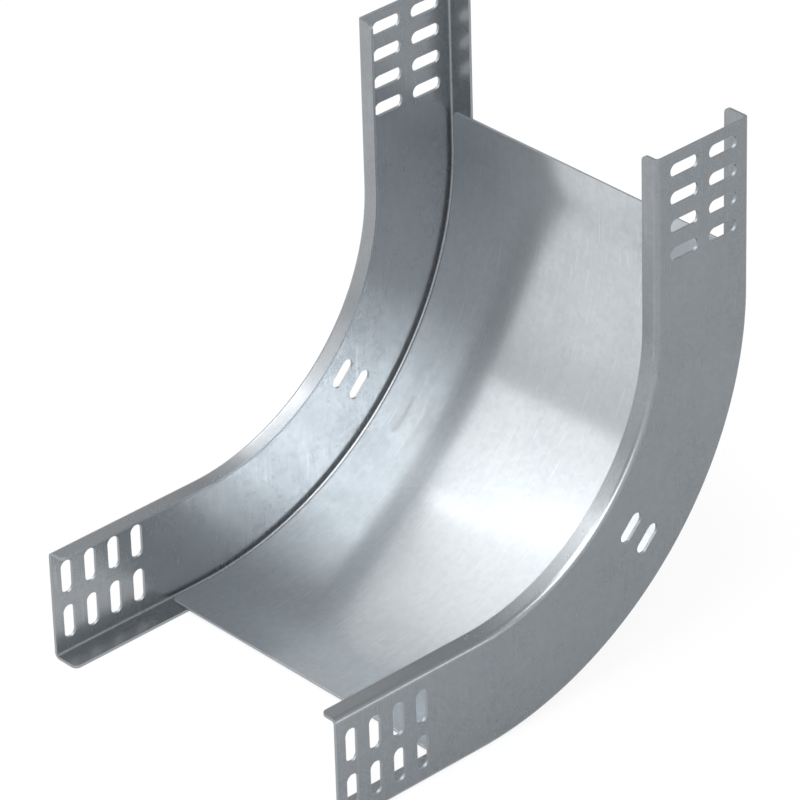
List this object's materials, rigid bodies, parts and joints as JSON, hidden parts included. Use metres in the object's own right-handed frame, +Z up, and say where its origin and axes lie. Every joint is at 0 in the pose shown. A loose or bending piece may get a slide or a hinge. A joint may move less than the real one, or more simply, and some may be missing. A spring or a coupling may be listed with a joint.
{
  "type": "cable tray bend",
  "caption": "Rising right-angle bend for a cable tray: a rolled base plate on two folded side walls with slotted ends for joining.",
  "frame": {"origin": "under the middle of the bend, on the plane of its lowest face and midway between the side walls", "axes": "+Z up along the upper end of the run, -X along the lower end of the run, Y across the tray"},
  "size_m": [0.265, 0.2, 0.265],
  "materials": {
    "base_sheet": "galvanised, satin",
    "side_sheet": "galvanised, satin"
  },
  "bodies": {
    "root": {"base_plate": "base_sheet", "left_side_wall": "side_sheet", "right_side_wall": "side_sheet"}
  },
  "joints": []
}
